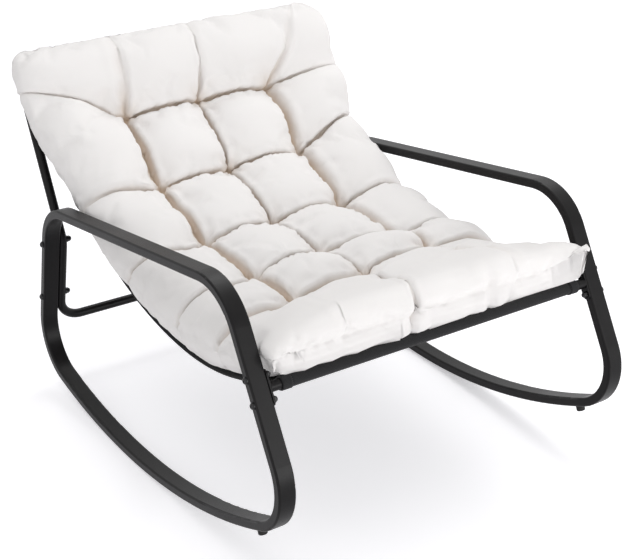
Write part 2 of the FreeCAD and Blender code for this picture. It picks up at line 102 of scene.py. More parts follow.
def apply_modifiers(body):
    """Gives a body the mesh that its modifiers make, and takes the modifiers off."""
    bpy.context.view_layer.update()
    result = bpy.data.meshes.new_from_object(body.evaluated_get(bpy.context.evaluated_depsgraph_get()))
    body.modifiers.clear()
    body.data = result


# %% Helpers for materials
def new_material(name):
    made = bpy.data.materials.new(name)
    made.use_nodes = True
    return made, made.node_tree, made.node_tree.nodes["Principled BSDF"]


def new_group(name, inputs, outputs):
    """Shader node group with named sockets: inputs are (name, kind, default), outputs are (name, kind)."""
    tree = bpy.data.node_groups.new(name, "ShaderNodeTree")
    for label, kind, default in inputs:
        socket = tree.interface.new_socket(label, in_out="INPUT", socket_type="NodeSocket" + kind)
        socket.default_value = default
    for label, kind in outputs:
        tree.interface.new_socket(label, in_out="OUTPUT", socket_type="NodeSocket" + kind)
    return tree, tree.nodes.new("NodeGroupInput"), tree.nodes.new("NodeGroupOutput")


def connect(tree, node, inputs):
    """Fills a node's inputs from {input: value}: a socket is linked, and anything else is set on the input."""
    for label, value in inputs.items():
        if isinstance(value, bpy.types.NodeSocket):
            tree.links.new(value, node.inputs[label])
        else:
            node.inputs[label].default_value = value


def add(tree, kind, inputs=None, **settings):
    """New node in a tree, with its settings and its inputs."""
    node = tree.nodes.new(kind)
    for label, value in settings.items():
        setattr(node, label, value)
    connect(tree, node, inputs or {})
    return node


def maths(tree, operation, a, b=0.0):
    return add(tree, "ShaderNodeMath", {0: a, 1: b}, operation=operation).outputs[0]


def noise(tree, place, scale, detail, roughness=0.5):
    values = {"Vector": place, "Scale": scale, "Detail": detail, "Roughness": roughness}
    return add(tree, "ShaderNodeTexNoise", values).outputs["Fac"]


def blend(tree, share, first, second):
    """Colour between two others, each of which is a socket or red, green and blue."""
    first, second = [c if isinstance(c, bpy.types.NodeSocket) else (*c, 1) for c in (first, second)]
    return add(tree, "ShaderNodeMix", {0: share, 6: first, 7: second}, data_type="RGBA").outputs[2]


def seen_by_camera(tree):
    """1 for what the camera sees, straight or as a reflection, and 0 for light on its way through the room."""
    path = add(tree, "ShaderNodeLightPath")
    return maths(tree, "MAXIMUM", path.outputs["Is Camera Ray"], path.outputs["Is Glossy Ray"])


# %% [markdown]
# ## Floor and light
# The chair stands in a white studio. The floor is matt paper. It glows a little, but only for the camera and in
# reflections, so that it is nearly as white as the backdrop and still takes the chair's soft shadow. The light
# comes from wide soft lamps overhead, in front, behind and at the left.

# %% Floor
floor_reach, floor_glow = 14, 0.44
floor_corners = [(-1, -1), (1, -1), (1, 1), (-1, 1)]
floor = new_object("floor", [(x * floor_reach, y * floor_reach, 0) for x, y in floor_corners], [(0, 1, 2, 3)],
                   smooth=False)
floor_material, floor_tree, floor_look = new_material("floor_paper")
speckle = noise(floor_tree, add(floor_tree, "ShaderNodeTexCoord").outputs["Object"], scale=3.0, detail=3.0)
connect(floor_tree, floor_look, {
    "Base Color": blend(floor_tree, speckle, (0.87, 0.865, 0.885), (0.90, 0.895, 0.91)),
    "Roughness": 0.7,
    "Specular IOR Level": 0.2,
    "Emission Color": (0.98, 0.975, 1.0, 1),
    "Emission Strength": maths(floor_tree, "MULTIPLY", seen_by_camera(floor_tree), floor_glow),
})
floor.data.materials.append(floor_material)
floor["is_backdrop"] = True
print("floor made")

# %% Sky and lamps
sky_strength, backdrop_strength = 0.64, 1.0
world = bpy.data.worlds.new("studio")
scene.world = world
world.use_nodes = True
sky_tree = world.node_tree
sky = sky_tree.nodes["Background"]
connect(sky_tree, sky, {"Color": (1, 1, 1, 1), "Strength": sky_strength})
backdrop = add(sky_tree, "ShaderNodeBackground", {"Color": (1, 1, 1, 1), "Strength": backdrop_strength})
shown = add(sky_tree, "ShaderNodeMixShader",
            {0: seen_by_camera(sky_tree), 1: sky.outputs[0], 2: backdrop.outputs[0]})
connect(sky_tree, sky_tree.nodes["World Output"], {"Surface": shown.outputs[0]})


def lamp(name, place, aim, size, power):
    data = bpy.data.lights.new(name, "AREA")
    data.shape = "RECTANGLE"
    data.size, data.size_y = size
    data.energy = power
    made = bpy.data.objects.new(name, data)
    made.location = place
    made.rotation_euler = (Vector(aim) - Vector(place)).to_track_quat("-Z", "Y").to_euler()
    scene.collection.objects.link(made)
    print(name, power, "W")


lamp("lamp_over", place=(-0.5, 0.0, 2.8), aim=(0, 0, 0.3), size=(2.4, 2.4), power=8)
lamp("lamp_front", place=(1.1, -3.1, 0.75), aim=(0, 0, 0.4), size=(1.3, 1.2), power=36)
lamp("lamp_behind", place=(1.3, 1.1, 2.6), aim=(-0.2, -0.1, 0.5), size=(1.4, 1.4), power=23)
lamp("lamp_left", place=(-2.7, -1.2, 0.9), aim=(0, 0, 0.4), size=(1.6, 1.2), power=9)

# %% [markdown]
# ## Finishes of the frame
# The tubes are steel with a black powder coat, a melted plastic powder with a satin shine and a fine, slightly
# pebbled skin. Bolts and washers are blackened and a little shinier. The shared skin is a node group, so each
# finish only sets its own grain and strength.

# %% Pebbled skin
coat_tree, coat_in, coat_out = new_group(
    "pebbled_skin", [("Grain", "Float", 900.0), ("Wear", "Float", 0.3)],
    [("Height", "Float"), ("Mottle", "Float"), ("Dust", "Float")])
coat_place = add(coat_tree, "ShaderNodeTexCoord").outputs["Object"]
mottle = noise(coat_tree, coat_place, scale=14.0, detail=4.0, roughness=0.6)
facing = add(coat_tree, "ShaderNodeNewGeometry").outputs["Normal"]
upness = add(coat_tree, "ShaderNodeSeparateXYZ", {0: facing}).outputs["Z"]
# dust and painted top light: faces that look up turn partly grey, in patches of the mottle
dust_and_top_light = maths(coat_tree, "MULTIPLY", maths(coat_tree, "MAXIMUM", upness, 0.0), mottle)
connect(coat_tree, coat_out, {
    "Height": noise(coat_tree, coat_place, scale=coat_in.outputs["Grain"], detail=2.0),
    "Mottle": mottle,
    "Dust": maths(coat_tree, "MULTIPLY", dust_and_top_light, coat_in.outputs["Wear"]),
})
print("pebbled skin", len(coat_tree.nodes), "nodes")

# %% Powder coat and the other finishes
bump_depth = 0.0004
shinier, duller = 0.05, 0.07
# grey of the dust and of the painted top light on upward faces
dust_and_top_light_grey = (0.16, 0.155, 0.15)


def coated(name, dark, light, roughness, grain, bump, dust_and_top_light_strength, metallic=0.0, gloss=0.5):
    """Finish with the pebbled skin: two tones, patches of more and less shine, and a lighter grey on what faces up
    that is partly dust and partly painted top light.
    """
    made, tree, look = new_material(name)
    skin = add(tree, "ShaderNodeGroup", {"Grain": grain, "Wear": dust_and_top_light_strength}, node_tree=coat_tree)
    mottled = blend(tree, skin.outputs["Mottle"], dark, light)
    shine = add(tree, "ShaderNodeMapRange", {"Value": skin.outputs["Mottle"], "To Min": roughness - shinier,
                                             "To Max": roughness + duller})
    relief = add(tree, "ShaderNodeBump", {"Height": skin.outputs["Height"], "Strength": bump,
                                          "Distance": bump_depth})
    connect(tree, look, {
        "Base Color": blend(tree, skin.outputs["Dust"], mottled, dust_and_top_light_grey),
        "Roughness": shine.outputs[0],
        "Normal": relief.outputs[0],
        "Metallic": metallic,
        "Specular IOR Level": gloss,
    })
    return made


steel_coat = coated("steel_powder_coat", dark=(0.0030, 0.0026, 0.0030), light=(0.0056, 0.0050, 0.0056),
                    roughness=0.36, grain=1400.0, bump=0.22, dust_and_top_light_strength=0.10, gloss=0.15)
bolt_coat = coated("bolt_black", dark=(0.012, 0.012, 0.013), light=(0.030, 0.030, 0.031),
                   roughness=0.34, grain=700.0, bump=0.12, dust_and_top_light_strength=0.1, metallic=0.5)
foot_rubber = coated("foot_rubber_black", dark=(0.010, 0.010, 0.010), light=(0.022, 0.021, 0.020),
                     roughness=0.70, grain=1800.0, bump=0.5, dust_and_top_light_strength=0.3, gloss=0.3)
cap_plastic = coated("cap_plastic_black", dark=(0.010, 0.010, 0.010), light=(0.020, 0.020, 0.020),
                     roughness=0.50, grain=1000.0, bump=0.35, dust_and_top_light_strength=0.2)

finish_of = {"foot_rubber": foot_rubber, "cap_plastic": cap_plastic,
             "hardware_steel": bolt_coat, "frame_steel": steel_coat}
for node_name, node in nodes.items():
    for slot in node.material_slots:
        for record_slot, finish in finish_of.items():
            if slot.material and record_slot in slot.material.name:
                slot.material = finish
    print(node_name, [slot.material.name for slot in node.material_slots])

# %% [markdown]
# ## Cloth and stitches
# Both cloths are plain weaves: threads that go over and under each other, which is a small bump pattern in the two
# directions of the cloth. A stitch line is the same short bead of thread again and again, so a geometry node tree
# sets one on every step of a line.

# %% Weave
weave_tree, weave_in, weave_out = new_group(
    "plain_weave", [("Pitch", "Float", 0.001)], [("Height", "Float"), ("Slub", "Float"), ("Cloud", "Float")])
weave_place = add(weave_tree, "ShaderNodeUVMap", uv_map="weave").outputs[0]
weave_xyz = add(weave_tree, "ShaderNodeSeparateXYZ", {0: weave_place})
cloud_relief = 3.0


def thread_wave(axis):
    """Over and under of the threads in one direction of the cloth."""
    threads = maths(weave_tree, "DIVIDE", weave_xyz.outputs[axis], weave_in.outputs["Pitch"])
    return maths(weave_tree, "SINE", maths(weave_tree, "MULTIPLY", threads, math.pi))


connect(weave_tree, weave_out, {
    "Height": maths(weave_tree, "MULTIPLY", thread_wave("X"), thread_wave("Y")),
    "Slub": noise(weave_tree, weave_place, scale=700.0, detail=2.0),
    "Cloud": noise(weave_tree, weave_place, scale=16.0, detail=5.0, roughness=0.6),
})
print("plain weave", len(weave_tree.nodes), "nodes")


def woven(name, dark, light, pitch, bump, roughness, crease=None):
    """Cloth of two thread tones, with a painted shade: another colour where its points are marked as lying in a
    crease.
    """
    made, tree, look = new_material(name)
    weave = add(tree, "ShaderNodeGroup", {"Pitch": pitch}, node_tree=weave_tree)
    colour = blend(tree, weave.outputs["Slub"], dark, light)
    if crease:
        # painted shade: the crease colour is mixed in where the stored number says a point lies in a crease
        crease_shade_mark = add(tree, "ShaderNodeAttribute", attribute_name="crease")
        colour = blend(tree, crease_shade_mark.outputs["Fac"], colour, crease)
    cloudy = maths(tree, "MULTIPLY", weave.outputs["Cloud"], cloud_relief)
    relief = add(tree, "ShaderNodeBump", {"Height": maths(tree, "ADD", weave.outputs["Height"], cloudy),
                                          "Strength": bump, "Distance": bump_depth})
    connect(tree, look, {
        "Base Color": colour,
        "Normal": relief.outputs[0],
        "Roughness": roughness,
        "Specular IOR Level": 0.2,
        "Sheen Weight": 0.08,
    })
    return made


def set_uv(body, flat):
    """UV map in metres of flat cloth, from one pair of numbers for each point."""
    layer = body.data.uv_layers.new(name="weave")
    corners = np.zeros(len(body.data.loops), int)
    body.data.loops.foreach_get("vertex_index", corners)
    layer.data.foreach_set("uv", np.asarray(flat)[corners].ravel())


# %% Stitches
def stitch_tree():
    """Geometry node tree that sets beads of thread along lines of edges."""
    tree = bpy.data.node_groups.new("stitch_line", "GeometryNodeTree")
    sockets = (("Geometry", "Geometry"), ("Spacing", "Float"), ("Length", "Float"), ("Width", "Float"),
               ("Thread", "Material"))
    for label, kind in sockets:
        tree.interface.new_socket(label, in_out="INPUT", socket_type="NodeSocket" + kind)
    tree.interface.new_socket("Geometry", in_out="OUTPUT", socket_type="NodeSocketGeometry")
    start, end = tree.nodes.new("NodeGroupInput"), tree.nodes.new("NodeGroupOutput")
    asked = start.outputs
    line = add(tree, "GeometryNodeMeshToCurve", {0: asked["Geometry"]})
    stepped = add(tree, "GeometryNodeResampleCurve", {"Curve": line.outputs[0], "Length": asked["Spacing"]},
                  mode="LENGTH")
    tangent = add(tree, "GeometryNodeInputTangent")
    turned = add(tree, "FunctionNodeAlignRotationToVector", {"Vector": tangent.outputs[0]}, axis="X")
    bead = add(tree, "GeometryNodeMeshUVSphere", {"Segments": 6, "Rings": 4, "Radius": 0.5})
    sized = add(tree, "ShaderNodeCombineXYZ", {0: asked["Length"], 1: asked["Width"], 2: asked["Width"]})
    placed = add(tree, "GeometryNodeInstanceOnPoints", {"Points": stepped.outputs[0], "Instance": bead.outputs[0],
                                                        "Rotation": turned.outputs[0], "Scale": sized.outputs[0]})
    real = add(tree, "GeometryNodeRealizeInstances", {0: placed.outputs[0]})
    smooth_beads = add(tree, "GeometryNodeSetShadeSmooth", {0: real.outputs[0]})
    finished = add(tree, "GeometryNodeSetMaterial", {"Geometry": smooth_beads.outputs[0],
                                                     "Material": asked["Thread"]})
    connect(tree, end, {0: finished.outputs[0]})
    return tree


stitch_nodes = stitch_tree()
print("stitch line", len(stitch_nodes.nodes), "nodes")


def stitches(name, lines, thread, spacing, length, width):
    """Plain mesh of beads of thread along each line of points."""
    points, edges = [], []
    for line in lines:
        edges += [(len(points) + i, len(points) + i + 1) for i in range(len(line) - 1)]
        points += [tuple(p) for p in line]
    mesh = bpy.data.meshes.new(name)
    mesh.from_pydata(points, edges, [])
    made = bpy.data.objects.new(name, mesh)
    scene.collection.objects.link(made)
    sewing = made.modifiers.new("stitches", "NODES")
    sewing.node_group = stitch_nodes
    chosen = {"Spacing": spacing, "Length": length, "Width": width, "Thread": thread}
    for socket in stitch_nodes.interface.items_tree:
        if socket.item_type == "SOCKET" and socket.in_out == "INPUT" and socket.name in chosen:
            sewing[socket.identifier] = chosen[socket.name]
    apply_modifiers(made)
    print(name, len(made.data.polygons), "faces")
    return made


# %% [markdown]
# ## Lines that both soft pieces follow
# Seen from the side, the sling hangs in two arcs that meet at its lowest line, and the cushion lies on it. A place
# on either piece is therefore given by two numbers: how far along the sling it is from that lowest line, and how
# far it stands off the cloth. In front the cushion fans out over the front bar.

# %% Side view of the sling
low_y, low_z = -0.178, 0.274
front_radius, back_radius = 0.536483, 0.695415
cloth_thickness, rest_gap = 0.0012, 0.0006
front_bar = np.array([-0.47717, 0.354])
top_bar = np.array([0.42912, 0.6116])
sleeve_radius = 0.0105
bar_lean = math.radians(33.24)
bar_place = -0.310195
fan_radius = 0.0511
sling_half = 0.306
sag_depth, sag_from, sag_length = 0.005, -0.28, 0.9


def sag(x, along):
    """How far the loaded cloth hangs below its straight line, in the middle of its width."""
    run = np.clip((along - sag_from) / sag_length, 0, 1)
    return sag_depth * np.clip(1 - (x / sling_half) ** 2, 0, 1) * np.sin(np.pi * run) ** 0.7


def stand(along):
    """Foot on the cushion's underside and upward direction, in the side view, for arrays of places."""
    along = np.asarray(along, float)
    lift = cloth_thickness + rest_gap
    radius = np.where(along < 0, front_radius, back_radius) - lift
    angle = along / radius
    up = np.stack([-np.sin(angle), np.cos(angle)], -1)
    centre = np.stack([np.full_like(along, low_y), low_z + radius + lift], -1)
    foot = centre - up * radius[..., None]
    turned = bar_lean - (bar_place - along) / fan_radius
    fan_up = np.stack([np.sin(turned), np.cos(turned)], -1)
    fan_foot = front_bar + fan_up * (sleeve_radius + rest_gap)
    over_bar = (along < bar_place)[..., None]
    return np.where(over_bar, fan_foot, foot), np.where(over_bar, fan_up, up)


def place_at(x, along, height):
    """Points of the part's frame for arrays of x, place along the sling and height off it."""
    foot, up = stand(along)
    side_view = foot + up * height[..., None]
    return np.stack([x, side_view[..., 0], side_view[..., 1] - sag(x, along)], -1)


print("front bar", front_bar, "top bar", top_bar)

# %% [markdown]
# ## Sling
# The sling is one strip of strong black cloth. Each end goes round a bar and is sewn down to the strip as a
# sleeve, and each long side is folded under and sewn as a hem. A line in the side view, swept across the chair,
# is the whole strip; the line across the chair turns back on itself at both edges for the folded hems.

# %% Line of the cloth in the side view
half_cloth = cloth_thickness / 2
layer_gap = cloth_thickness * 1.05
front_lean, back_lean = math.radians(252.24), math.radians(315.873)
lowest_angle = 1.5 * math.pi
sleeve_stitch, hem_allowance = 0.030, 0.012
sleeve_step, link_step, arc_step, wrap_count = 0.003, 0.006, 0.008, 44


def ray(angle):
    return np.stack([np.cos(angle), np.sin(angle)], -1)


def arc_line(centre, radius, start, end, step):
    count = max(2, int(abs(end - start) * radius / step) + 1)
    return np.asarray(centre) + ray(np.linspace(start, end, count)) * radius


def straight(start, end, step):
    count = max(2, int(np.linalg.norm(np.subtract(end, start)) / step) + 1)
    return np.linspace(start, end, count)


def sleeve(bar, lean, turn):
    """Cloth from its cut end, over the bar and round to where it leaves under the bar."""
    out, on = ray(np.array(lean)), ray(np.array(lean + turn * math.pi / 2))
    wrap = sleeve_radius - half_cloth
    sewn = bar + out * (wrap - layer_gap) + on * sleeve_stitch
    cut = sewn + on * hem_allowance
    gap = sewn - bar
    leave = math.atan2(gap[1], gap[0]) + turn * math.acos(wrap / np.linalg.norm(gap))
    turned = (leave - lean) % (2 * math.pi) if turn < 0 else -((lean - leave) % (2 * math.pi))
    wrapped = bar + ray(np.linspace(lean + turned, lean, wrap_count)) * wrap
    return np.concatenate([straight(cut, sewn, sleeve_step)[:-1], straight(sewn, wrapped[0], sleeve_step)[:-1],
                           wrapped])


front_end = sleeve(front_bar, front_lean, 1)
back_end = sleeve(top_bar, back_lean, -1)[::-1]
front_arc = arc_line((low_y, low_z + front_radius), front_radius - half_cloth, front_lean, lowest_angle, arc_step)
back_arc = arc_line((low_y, low_z + back_radius), back_radius - half_cloth, lowest_angle, back_lean, arc_step)
front_link = straight(front_end[-1], front_arc[0], link_step)[1:-1]
back_link = straight(back_arc[-1], back_end[0], link_step)[1:-1]
cloth_line = np.concatenate([front_end, front_link, front_arc, back_arc[1:], back_link, back_end])
steps = np.linalg.norm(np.diff(cloth_line, axis=0), axis=1)
heading = np.gradient(cloth_line, axis=0)
heading /= np.linalg.norm(heading, axis=1)[:, None]
outward = np.stack([heading[:, 1], -heading[:, 0]], -1)
on_main = np.zeros(len(cloth_line))
on_main[len(front_end):-len(back_end)] = 1
run = np.concatenate([[0], np.cumsum(steps)])
run_from_low = run - run[len(front_end) + len(front_link) + len(front_arc)]

# %% Sweep the line across the chair, with folded side hems
hem_width = 0.018
edge_inset, hem_margin, flat_margin = 0.001, 0.004, 0.012
fold_gap = cloth_thickness * 1.15
fold_count = 6
turn_angles = np.linspace(0, math.pi, 5)[1:-1]
edge, hem_end = sling_half - edge_inset, sling_half - hem_width
hem_x = np.linspace(-sling_half + edge_inset, -sling_half + hem_width + hem_margin, 8)
middle_x = np.linspace(-sling_half + hem_width + flat_margin, sling_half - hem_width - flat_margin, 40)
flat_x = np.concatenate([hem_x, middle_x, np.linspace(sling_half - hem_width - hem_margin, edge, 8)])
fold_x = np.linspace(edge, hem_end, fold_count)
fold_turn_x = edge + np.sin(turn_angles) * fold_gap / 2
fold_turn_z = fold_gap / 2 * (1 - np.cos(turn_angles))
folded = np.full(fold_count, fold_gap)
across_x = np.concatenate([-fold_x[::-1], -fold_turn_x[::-1], flat_x, fold_turn_x, fold_x])
across_out = np.concatenate([folded, fold_turn_z[::-1], np.zeros(len(flat_x)), fold_turn_z, folded])
cloth_x, along_cloth = np.meshgrid(across_x, run_from_low)
offset = np.tile(across_out, (len(cloth_line), 1))
side_view = cloth_line[:, None, :] + outward[:, None, :] * offset[..., None]

# The cloth hangs freely away from the bars, and puckers a little where it leaves the sleeves
ease_reach = 0.08
pucker_height, pucker_wave, pucker_reach = 0.0005, 0.034, 0.03
from_front = np.abs(along_cloth - along_cloth[len(front_end), 0])
from_top = np.abs(along_cloth[-len(back_end), 0] - along_cloth)
from_sleeve = np.minimum(from_front, from_top)
ease = np.minimum(1, from_sleeve / ease_reach) * on_main[:, None]
drop = sag(cloth_x, along_cloth) * ease
pucker = pucker_height * np.sin(cloth_x * 2 * math.pi / pucker_wave) * np.exp(-from_sleeve / pucker_reach)
pucker = pucker * on_main[:, None]
cloth_points = np.stack([cloth_x, side_view[..., 0], side_view[..., 1] - drop - pucker * ease], -1)
sling = new_object("black_sling", cloth_points.reshape(-1, 3),
                   grid_faces(np.arange(cloth_x.size).reshape(cloth_x.shape)))
set_uv(sling, np.stack([cloth_x, along_cloth], -1).reshape(-1, 2))
thicken = sling.modifiers.new("thickness", "SOLIDIFY")
thicken.thickness = cloth_thickness * 0.9
thicken.offset = 0.0
apply_modifiers(sling)

# %% Sling cloth
sling.data.materials.append(woven("sling_black_cloth", dark=(0.009, 0.009, 0.010), light=(0.018, 0.018, 0.019),
                                  pitch=0.0014, bump=0.8, roughness=0.75))
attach(sling, "frame")
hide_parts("sling")
print("sling cloth", sling.data.materials[0].name)

# %% [markdown]
# ## Seams of the sling
# Four seams hold the sling together, one along each side hem and one across each sleeve, and they show on both
# faces of the cloth. Each is a line of points just off the cloth, which the stitch tree turns into beads of thread.

# %% Stitches of the hems and sleeves
thread_lift, hem_inset = 0.0002, 0.004
lift_off = cloth_thickness * 0.45 + thread_lift
seam_lines = []
main_rows = slice(len(front_end), len(cloth_line) - len(back_end))
first_flat = len(fold_x) + len(fold_turn_x)
for stitch_x in (-sling_half + hem_width - hem_inset, sling_half - hem_width + hem_inset):
    column = first_flat + int(np.argmin(np.abs(flat_x - stitch_x)))
    for stand_off in (-lift_off, fold_gap + lift_off):
        line = cloth_points[main_rows, column].copy()
        line[:, 1:] += outward[main_rows] * stand_off
        seam_lines.append(line)
hem_steps = len(straight((0, 0), (hem_allowance, 0), sleeve_step)) - 1
for row, leaves in ((hem_steps, front_lean), (len(cloth_line) - 1 - hem_steps, back_lean)):
    for stand_off in (-lift_off, layer_gap + lift_off):
        line = cloth_points[row, first_flat:first_flat + len(flat_x)].copy()
        line[:, 1:] += ray(np.array(leaves)) * stand_off
        seam_lines.append(line)
black_thread = coated("black_thread", dark=(0.018, 0.018, 0.019), light=(0.036, 0.036, 0.037),
                      roughness=0.60, grain=3000.0, bump=0.5, dust_and_top_light_strength=0.0, gloss=0.3)
sling_stitches = stitches("sling_stitches", seam_lines, black_thread, spacing=0.0042, length=0.0036, width=0.0009)
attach(sling_stitches, "frame")

# %% [markdown]
# ## Cushion: where the tufts are
# The cushion is one long quilted bag. Fifteen stitches pull its face down to its back, in five rows of three, and
# the filling swells between them. Each row below is one row of stitches from the front to the top: x, place along
# the sling and height above it, in millimetres. The first and last rows and columns are the ends of the creases
# at the seams.

# %% Tufts and creases
rows = [
    [(None, -347, 0), (-190, -347, 0), (-58, -347, 0), (165, -347, 0), (None, -347, 0)],
    [(None, -150, 0), (-160, -147, 80), (0, -115, 82), (160, -84, 89), (None, -85, 0)],
    [(None, 0, 0), (-160, 4, 89), (0, 50, 76), (160, 35, 76), (None, 40, 0)],
    [(None, 195, 0), (-160, 195, 66), (0, 229, 48), (160, 235, 41), (None, 240, 0)],
    [(None, 395, 0), (-160, 390, 42), (0, 410, 28), (160, 405, 33), (None, 470, 0)],
    [(None, 670, 0), (-160, 573, 30), (0, 579, 30), (160, 578, 30), (None, 590, 0)],
    [(None, 753, 0), (-135, 753, 0), (40, 753, 0), (300, 753, 0), (None, 753, 0)],
]
row_count, column_count = len(rows), len(rows[0])
table = np.array([[[0 if x is None else x, s, h] for x, s, h in row] for row in rows]) / 1000
# How deep the creases across the chair are at those places: 1 is down to the tufts, 0 is none
depth_across = np.array([
    [0, 0, 0, 0, 0],
    [0.5, 1, 1, 1, 0.5],
    [0.5, 1, 1, 1, 0.5],
    [0.5, 1, 1, 1, 0.5],
    [0.4, 1, 1, 1, 0.55],
    [0.3, 1, 1, 1, 0.15],
    [0, 0, 0, 0, 0],
])
# The same for the creases of each column beyond the last tufts, as (share of the way to the seam, depth)
even_depth = [(0, 1), (1, 1)]
depth_to_front = [
    even_depth,
    [(0, 1), (0.12, 0.85), (0.26, 0.4), (0.38, 0), (1, 0)],
    [(0, 1), (0.25, 0.6), (0.55, 0.45), (0.8, 0.45), (1, 0.5)],
    [(0, 1), (0.25, 0.7), (0.6, 0.45), (0.84, 0), (1, 0)],
    even_depth,
]
depth_to_top = [
    even_depth,
    [(0, 1), (0.15, 0.6), (0.4, 0.32), (1, 0.2)],
    [(0, 1), (0.15, 0.6), (0.4, 0.3), (1, 0.2)],
    [(0, 1), (0.15, 0.6), (0.4, 0.3), (0.8, 0.15), (1, 0.05)],
    even_depth,
]
print("tufts", (row_count - 2) * (column_count - 2))

# %% Edge of the cushion
cushion_front, cushion_top = -0.347, 0.753
cushion_half, top_flare, corner_radius = 0.324, 0.023, 0.040
side_seam, back_seam, front_seam = 0.048, 0.027, 0.040


def smooth(value, start, end):
    """Rises softly from 0 at the start to 1 at the end."""
    t = np.clip((value - start) / (end - start), 0, 1)
    return t * t * (3 - 2 * t)


def on_back(along):
    """0 on the seat and 1 on the back, with the bend between them."""
    return smooth(along, 0.05, 0.40)


def half_width(along):
    """Half of the cushion's width at the seam, with the wider top and its rounded corners."""
    half = cushion_half + top_flare * smooth(along, 0.43, 0.61)
    corner = np.clip(along - (cushion_top - corner_radius), 0, corner_radius)
    return half - (corner_radius - np.sqrt(corner_radius ** 2 - corner ** 2))


def seam_height(along):
    """How far the seam stands off the sling."""
    at_front = 1 - smooth(along, cushion_front, -0.125)
    return side_seam + (back_seam - side_seam) * on_back(along) + (front_seam - side_seam) * at_front


print("cushion length", round(cushion_top - cushion_front, 3))

# %% [markdown]
# ## Cushion: grid of the face
# Every puff gets the same number of points, so the creases fall on lines of the grid and stay sharp. The points are
# closer together towards the creases, where the face turns steeply.

# %% Grid of the face
puff_steps = 36


def puff_line(puffs):
    """Places along a line of puffs."""
    even = np.linspace(0, 1, puff_steps + 1)
    spaced = 0.45 * even + 0.55 * (0.5 - 0.5 * np.cos(np.pi * even))
    return np.concatenate([puff + spaced[:-1] for puff in range(puffs)] + [[puffs]])


row_place, column_place = np.meshgrid(puff_line(row_count - 1), puff_line(column_count - 1), indexing="ij")
row_cell = np.minimum(row_place.astype(int), row_count - 2)
column_cell = np.minimum(column_place.astype(int), column_count - 2)
# In its puff a point is at u across the chair and at v towards the top, both from 0 to 1
u, v = column_place - column_cell, row_place - row_cell
near_side, far_side = column_cell == 0, column_cell == column_count - 2
at_side = near_side | far_side
front_row, top_row = row_cell == 0, row_cell == row_count - 2
ends = front_row | top_row
# In the rows at the ends, the share of the way from the tufts to the seam
share = np.where(front_row, 1 - v, v)


def within(values):
    """Values given at the corners of the puffs, on the lower line, the upper line and over each puff."""
    low = values[row_cell, column_cell] * (1 - u) + values[row_cell, column_cell + 1] * u
    high = values[row_cell + 1, column_cell] * (1 - u) + values[row_cell + 1, column_cell + 1] * u
    return low, high, low * (1 - v) + high * v


# The ends roll over: beyond round_start the place and the height follow a circle, a little past the seam
round_start = 0.38
front_roll, top_roll = math.radians(106), math.radians(100)
roll_end = np.where(front_row, front_roll, top_roll)
roll = np.clip((share - round_start) / (1 - round_start), 0, 1) * roll_end
low_along, high_along, plan_along = within(table[..., 1])
tuft_line = np.where(front_row, high_along, low_along)
seam_end = np.where(front_row, low_along, high_along)
roll_from = tuft_line + (seam_end - tuft_line) * round_start
rolled = roll_from + (seam_end - roll_from) * np.sin(roll) / np.sin(roll_end)
along = np.where(ends & (share > round_start), rolled, plan_along)
fill = np.where(ends, (np.cos(roll) - np.cos(roll_end)) / (1 - np.cos(roll_end)), 1.0)

# The creases draw the sides in, and the far side is a little narrower than the near one
side_pinch = 0.009
low_depth, high_depth, cross_depth = within(depth_across)
draw_in = side_pinch * cross_depth * np.abs(2 * v - 1) ** 5
half = half_width(along) - np.where(ends & (share > 0.3), 0, draw_in)
far_front = 0.010 * (1 - smooth(along, cushion_front, -0.25))
far_top = 0.012 * smooth(along, 0.66, cushion_top)
far_back = 0.006 * smooth(along, 0.40, 0.48) * (1 - smooth(along, 0.66, 0.72))
far_half = half - far_front - far_top - far_back
near_half = half + 0.002 * smooth(along, 0.60, 0.68)
inner_column = np.where(near_side, column_cell + 1, column_cell)
inner = table[row_cell, inner_column, 0] * (1 - v) + table[row_cell + 1, inner_column, 0] * v
near_x, far_x = -near_half + (inner + near_half) * u, inner + (far_half - inner) * u
x = np.where(near_side, near_x, np.where(far_side, far_x, within(table[..., 0])[2]))
print("face grid", x.shape)

# %% [markdown]
# ## Cushion: the puffs
# Between four tufts the face swells like a small pillow. A curve that leaves the crease almost square to the
# back of the cushion and flattens towards the crown gives that look: neighbouring puffs press on each other and
# the crease between them is a sharp line. Along the ends the pillows roll over to the seam.

# %% Height of the face
rng = np.random.default_rng(7)
crease_rise, puff_rise, front_rise, top_rise = 0.014, 0.050, 0.026, 0.054
front_drop = 0.020
swell_power, crest_power = 2.3, 1.3
far_tip = 0.034 * smooth(x, 0.20, 0.318) * (1 - smooth(along, cushion_front, -0.22))
seam = seam_height(along) + far_tip
knot = table[..., 2].copy()
knot[:, 0] = seam_height(table[:, 0, 1])
knot[:, -1] = seam_height(table[:, -1, 1])
knot[0] = knot[1] - front_drop
knot[-1] = knot[-2]
base = within(knot)[2]

# The crown of a puff at the side is at 0.6 of the way from its tufts to the seam
side_crown = math.log(0.5) / math.log(0.6)
from_tuft = np.where(near_side, 1 - u, u)
across = np.where(at_side, 2 * from_tuft ** side_crown - 1, 2 * u - 1)
lengthwise = np.where(ends, np.minimum(share / round_start, 1) - 1, 2 * v - 1)


def column_depths(lines):
    """Depth of the crease of each column, for every row of points."""
    return np.array([np.interp(share[:, 0], *zip(*line)) for line in lines]).T


def swell(place, depth):
    """Rise of a puff at places from -1, one crease, to 1, the other, for creases of a depth."""
    return 1 - depth * (1 - np.sqrt((1 - np.abs(place) ** swell_power).clip(0, 1)))


